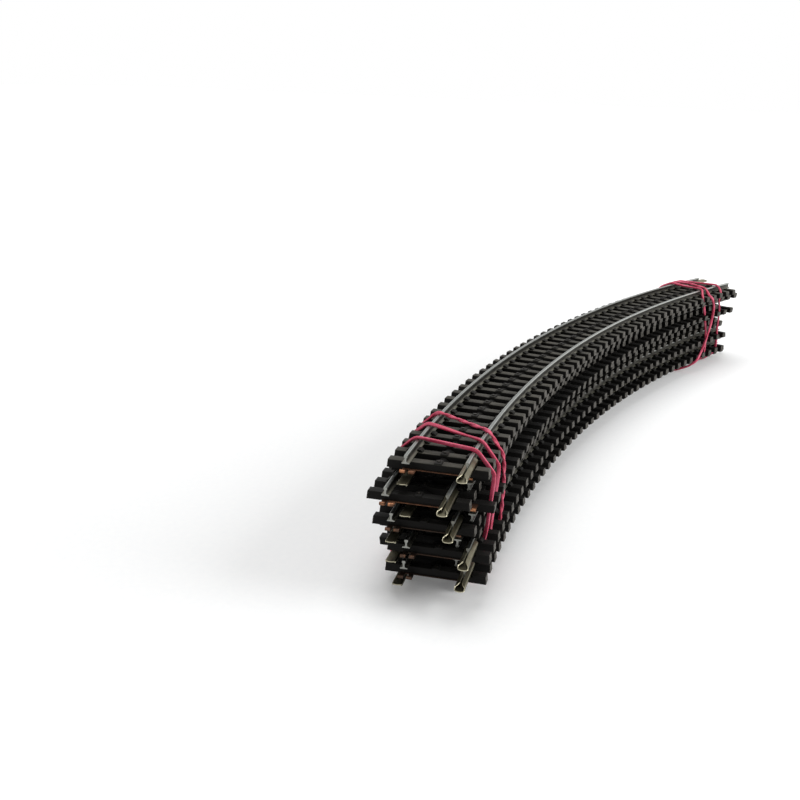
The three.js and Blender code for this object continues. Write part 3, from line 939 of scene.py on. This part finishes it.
# Where the middle of each strand runs, as (along, outward, up) in the stack. A turn goes over the
# top to the inner side, down, back underneath and up the outer side.
near_band_route = [
    # turn 1
    (-148.0, 9.5, 41.5), (-150.3, 0.0, 41.5), (-152.5, -9.5, 41.5), (-155.2, -15.1, 36.3),
    (-155.2, -15.3, 35.9), (-155.2, -15.3, 33.5), (-154.8, -14.6, 25.9), (-153.9, -13.9, 18.4),
    (-153.1, -12.9, 13.3), (-152.2, -11.9, 8.3), (-152.6, -9.6, 0.8), (-152.6, -9.1, 0.4),
    (-151.3, 0.2, 0.4), (-149.9, 9.6, 0.4), (-149.3, 15.2, 3.0), (-149.2, 15.5, 3.4),
    (-143.9, 17.3, 10.9), (-136.4, 17.6, 21.0), (-134.8, 17.6, 23.5), (-133.3, 16.5, 29.8),
    (-133.3, 15.3, 36.2),
    # turn 2
    (-135.1, 9.5, 41.5), (-139.7, 0.0, 41.5), (-144.3, -9.5, 41.5), (-147.9, -15.1, 36.3),
    (-147.9, -15.3, 35.9), (-147.8, -15.3, 33.5), (-147.4, -14.6, 25.9), (-146.5, -14.0, 18.4),
    (-145.3, -13.3, 10.9), (-144.7, -11.4, 5.8), (-145.2, -9.6, 0.8), (-145.2, -9.0, 0.4),
    (-144.1, 0.3, 0.4), (-142.9, 9.6, 0.4), (-142.5, 15.2, 3.0), (-142.4, 15.5, 3.4),
    (-136.9, 17.4, 10.9), (-129.1, 17.7, 21.0), (-127.4, 17.7, 23.5), (-126.0, 16.5, 29.8),
    (-126.0, 15.3, 36.2),
    # turn 3
    (-124.0, 9.5, 41.5), (-129.6, 0.0, 41.5), (-135.2, -9.5, 41.5), (-138.6, -12.6, 39.2),
    (-140.7, -15.2, 36.9), (-140.0, -15.5, 33.5), (-139.2, -15.6, 26.5), (-138.9, -15.4, 18.4),
    (-138.7, -15.0, 14.5), (-137.9, -13.3, 10.9), (-137.3, -11.4, 5.8), (-137.8, -9.5, 0.8),
    (-137.8, -9.0, 0.4), (-136.9, 0.4, 0.4), (-135.9, 9.7, 0.4), (-136.1, 15.7, 2.0),
    (-136.1, 16.8, 3.1), (-139.4, 19.4, 10.7), (-144.6, 18.8, 21.0), (-145.7, 18.3, 23.5),
    (-147.2, 16.4, 29.8), (-147.2, 15.3, 36.2),
]
far_band_route = [
    # turn 1
    (134.6, 9.4, 41.5), (131.6, 2.1, 41.5), (131.0, -9.4, 41.5), (126.0, -12.3, 38.6),
    (128.0, -12.6, 34.7), (130.4, -12.4, 30.0), (132.0, -12.4, 26.0), (134.4, -12.6, 19.0),
    (134.6, -12.9, 14.7), (136.2, -12.4, 11.0), (136.0, -12.2, 7.2), (135.2, -11.2, 4.2),
    (134.2, -6.3, 0.5), (134.2, 2.9, 0.4), (134.9, 12.4, 0.4), (135.5, 18.0, 3.0),
    (135.7, 18.3, 3.4), (138.4, 20.2, 10.9), (141.9, 21.9, 20.9), (143.9, 21.8, 28.5),
    (143.9, 21.2, 31.4), (143.9, 15.1, 38.8),
    # turn 2
    (142.6, 9.4, 41.5), (145.0, 0.0, 41.5), (148.3, -9.4, 41.5), (147.2, -12.5, 38.6),
    (144.2, -13.2, 34.7), (147.0, -12.8, 30.0), (147.9, -12.6, 24.0), (147.6, -12.6, 19.0),
    (147.8, -12.8, 14.7), (149.2, -12.4, 9.0), (149.0, -11.0, 4.4), (147.4, -6.2, 0.5),
    (142.5, 3.0, 0.4), (141.9, 12.3, 0.4), (141.9, 12.8, 0.7), (141.9, 15.9, 5.8),
    (141.8, 19.1, 10.8), (141.4, 19.8, 21.0), (141.0, 19.9, 28.5), (141.0, 19.9, 31.1),
    (140.0, 15.1, 38.8),
    # turn 3
    (139.0, 9.4, 41.5), (139.6, 2.4, 41.5), (134.6, -9.4, 41.5), (130.6, -13.8, 38.9),
    (131.6, -15.4, 37.4), (134.2, -15.5, 33.0), (134.0, -15.5, 28.2), (132.4, -15.6, 22.6),
    (129.4, -15.6, 16.4), (125.6, -15.6, 10.8), (121.8, -15.5, 6.8), (120.6, -14.8, 5.4),
    (119.4, -12.5, 3.2), (116.4, -6.4, 0.5), (106.9, 2.8, 0.4), (107.9, 12.1, 0.4),
    (109.3, 17.7, 3.0), (109.6, 18.1, 3.4), (114.8, 19.0, 10.9), (121.8, 19.6, 21.0),
    (127.1, 19.9, 28.5), (128.9, 19.9, 31.1), (134.3, 15.1, 38.8),
]


def rounded_route(route):
    """The strand's line through the route, straight between corners and bent round each."""
    places = [on_curve(*point) + stack_shift for point in route]
    line = []
    for i, place in enumerate(places):
        before, after = places[i - 1] - place, places[(i + 1) % len(places)] - place
        reach_back = min(band_bend * mm, before.length * band_bend_limit)
        reach_on = min(band_bend * mm, after.length * band_bend_limit)
        start = place + before.normalized() * reach_back
        finish = place + after.normalized() * reach_on
        for step in range(band_bend_steps + 1):
            t = step / band_bend_steps
            line.append(start * (1 - t) ** 2 + place * 2 * t * (1 - t) + finish * t ** 2)
    return line


def even_line(line, step):
    """The same closed line in even steps."""
    lengths = [(line[(i + 1) % len(line)] - point).length for i, point in enumerate(line)]
    total = sum(lengths)
    count = round(total / (step * mm))
    made, i, done = [], 0, 0.0
    for k in range(count):
        goal = total * k / count
        while done + lengths[i] < goal:
            done += lengths[i]
            i += 1
        made.append(line[i].lerp(line[(i + 1) % len(line)], (goal - done) / lengths[i]))
    return made


def squared(wave):
    """A sine or cosine that stays near 1 for longer, so that the strip's section is less round."""
    return math.copysign(abs(wave) ** band_squareness, wave)


def band_mesh(name, route, band_width, band_thickness, half_turns, rope_turns, turn_phase):
    """A closed strip of rubber along the route that turns over as it goes, most of all where its
    last turn starts, and lies flat on the table top."""
    line = even_line(rounded_route(route), band_step)
    count = len(line)
    middle = sum(line, Vector()) / count
    points = []
    for i, point in enumerate(line):
        ahead = (line[(i + 1) % count] - line[i - 1]).normalized()
        outward = Vector((0, point.y - middle.y, point.z - stack_middle * mm))
        outward = (outward - ahead * outward.dot(ahead)).normalized()
        across = ahead.cross(outward)
        share = i / count
        roped = min(1, max(0, (share - rope_from) / rope_share))
        over = math.pi * (half_turns * share + rope_turns * roped)
        over += sway * math.sin(2 * math.pi * (sway_waves * share + turn_phase))
        swell = 1 + swell_share * math.sin(2 * math.pi * (swell_waves * share + turn_phase))
        for corner in range(band_corners):
            turn = 2 * math.pi * corner / band_corners
            wide = squared(math.cos(turn)) * band_width / 2 * swell
            thick = squared(math.sin(turn)) * band_thickness / 2 / swell
            side = wide * math.cos(over) - thick * math.sin(over)
            out = wide * math.sin(over) + thick * math.cos(over)
            corner_point = point + (across * side + outward * out) * mm
            corner_point.z = max(corner_point.z, 0)
            points.append(corner_point)
    faces = ring_walls(count, band_corners, closed=True)
    mesh = bpy.data.meshes.new(name)
    mesh.from_pydata(points, [], faces)
    strip_map = mesh.uv_layers.new(name="grain")
    for loop in mesh.loops:
        ring, corner = divmod(loop.vertex_index, band_corners)
        round_share = corner / band_corners
        strip_map.data[loop.index].uv = (ring * band_step * mm, round_share * band_girth * mm)
    mesh.update()
    mesh.polygons.foreach_set("use_smooth", [True] * len(mesh.polygons))
    return mesh


# Natural rubber, coloured pink-red and extruded: matt, a little chalky where it is stretched,
# with fine lines along the strip from the die.
band_rubber = new_material("extruded_red_rubber")
band_map = add_node(band_rubber, "UVMap", {}, uv_map="grain")
band_place = add_node(band_rubber, "TexCoord", {}, "Object")
# The die's lines are drawn 0.3 mm apart round the strip, coarser than real ones so that they
# show, and change every 12 mm along it.
extrusion_place = add_node(band_rubber, "Mapping", {
    "Vector": band_map, "Scale": (repeats(12), repeats(0.3), 1),
})
extrusion_lines = add_node(band_rubber, "TexNoise", {
    "Vector": extrusion_place, "Scale": 1, "Detail": 3, "Roughness": 0.6,
})
chalking = add_node(band_rubber, "TexNoise", {
    "Vector": band_place, "Scale": repeats(4), "Detail": 3, "Roughness": 0.6,
})
chalk_cover = add_node(band_rubber, "MapRange", {
    "Value": chalking, "From Min": 0.38, "From Max": 0.68, "To Max": 0.7,
})
band_colour = add_node(band_rubber, "Mix", {
    "Factor": chalk_cover, "A": linear("#bb2c4e"), "B": linear("#da5f7e"),
}, data_type="RGBA")
band_relief = add_node(band_rubber, "Bump", {
    "Height": extrusion_lines, "Strength": 0.4, "Distance": 0.05 * mm,
})
add_node(band_rubber, "Principled BSDF", {
    "Base Color": band_colour, "Roughness": 0.5, "Normal": band_relief, "IOR": 1.52,
    "Subsurface Weight": 0.08, "Subsurface Scale": 0.6 * mm, "Subsurface Radius": (1, 0.35, 0.3),
})

for name, route, width, thickness, half_turns, rope_turns, turn_phase in (
    ("near", near_band_route, 1.15, 0.72, 6, 16, 0.1),
    ("far", far_band_route, 1.2, 0.95, 8, 4, 0.6),
):
    mesh = band_mesh(f"{name}_band", route, width, thickness, half_turns, rope_turns, turn_phase)
    mesh.materials.append(band_rubber)
    band = new_object(f"{name}_band", mesh)
    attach(band, "root")
    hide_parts(f"{name}_rubber_band")


# Table top
# A sheet of white card under the stack, which carries its soft shadow and runs into a white
# ground behind. It isn't part of the object.

table_reach = 6.0
table_drop = 0.02
table_mesh = bpy.data.meshes.new("table_top")
table_mesh.from_pydata([
    (x * table_reach, y * table_reach, -table_drop * mm)
    for x, y in ((-1, -1), (1, -1), (1, 1), (-1, 1))
], [], [(0, 1, 2, 3)])
table_top = new_object("table_top", table_mesh)


def lens_sees(surface):
    """1 where the lens sees a surface, straight or mirrored or through glass, and 0 elsewhere."""
    straight, mirrored, through_glass = [
        add_node(surface, "LightPath", {}, f"Is {kind} Ray")
        for kind in ("Camera", "Glossy", "Transmission")
    ]
    turned_aside = add_node(surface, "Math", {0: mirrored, 1: through_glass}, operation="ADD")
    return add_node(surface, "Math", {
        0: straight, 1: turned_aside,
    }, operation="ADD", use_clamp=True)


# Uncoated white card: matt, with the faintest mottle of its fibres. What the lens and mirror
# rays see of it is lifted towards white, and the shadow on it stays.
white_card = new_material("uncoated_white_card")
card_place = add_node(white_card, "TexCoord", {}, "Object")
fibres = add_node(white_card, "TexNoise", {
    "Vector": card_place, "Scale": repeats(2), "Detail": 3, "Roughness": 0.6,
})
card_colour = add_node(white_card, "Mix", {
    "Factor": fibres, "A": linear("#e2e3e4"), "B": linear("#e9e9e8"),
}, data_type="RGBA")
# Away from the stack the card runs into the white ground.
card_distance = add_node(white_card, "VectorMath", {
    "Vector": card_place,
}, "Value", operation="LENGTH")
card_whitening = add_node(white_card, "MapRange", {
    "Value": card_distance, "From Min": 0.25, "From Max": 0.75, "To Min": 0.12,
})
card_lift = add_node(white_card, "Math", {
    0: lens_sees(white_card), 1: card_whitening,
}, operation="MULTIPLY")
add_node(white_card, "Principled BSDF", {
    "Base Color": card_colour, "Roughness": 0.9, "Emission Color": linear("#ffffff"),
    "Emission Strength": card_lift,
})
table_mesh.materials.append(white_card)


# Light
# A soft box on the right of the lens, a larger one overhead, a weak one on the left behind the
# near end, and a pale room.

room = bpy.data.worlds.new("pale_room")
bpy.context.scene.world = room
room.use_nodes = True
room_strength = add_node(room, "MapRange", {"Value": lens_sees(room), "To Min": 0.28})
add_node(room, "Background", {"Color": linear("#ffffff"), "Strength": room_strength})


def soft_box(name, place, aim, size, power):
    lamp = bpy.data.lights.new(name, "AREA")
    lamp.shape = "SQUARE"
    lamp.size = size
    lamp.energy = power
    box = new_object(name, lamp)
    box.location = place
    box.rotation_mode = "QUATERNION"
    box.rotation_quaternion = (Vector(aim) - Vector(place)).to_track_quat("-Z", "Y")


mid_stack = (0, 0, stack_middle * mm)
soft_box("key_box", (0.3, -0.95, 0.55), mid_stack, 0.6, 10)
soft_box("top_box", (0.15, 0.2, 1.1), mid_stack, 0.8, 8.5)
soft_box("left_box", (-0.9, 0.6, 0.5), (-0.05, 0, stack_middle * mm), 0.6, 2)


# Camera
# It stands low beyond the near end of the stack, on the inner side of the curve, and looks
# along it with a slight tilt of the horizon.

camera_data = bpy.data.cameras.new("camera")
camera_data.lens = 44.645
camera_data.sensor_width = 36
camera_data.clip_start = 0.01
camera_data.clip_end = 30
camera = new_object("camera", camera_data)
bpy.context.scene.camera = camera
camera_place = Vector((-0.3863, -0.127725, 0.14095))
camera_azimuth = math.radians(-60.531)
camera_elevation = math.radians(18.035)
camera_roll = math.radians(1.753)
camera.matrix_world = (
    Matrix.Translation(camera_place)
    @ Matrix.Rotation(camera_azimuth, 4, "Z")
    @ Matrix.Rotation(math.pi / 2 - camera_elevation, 4, "X")
    @ Matrix.Rotation(camera_roll, 4, "Z")
)

bpy.context.scene.view_settings.view_transform = "Standard"
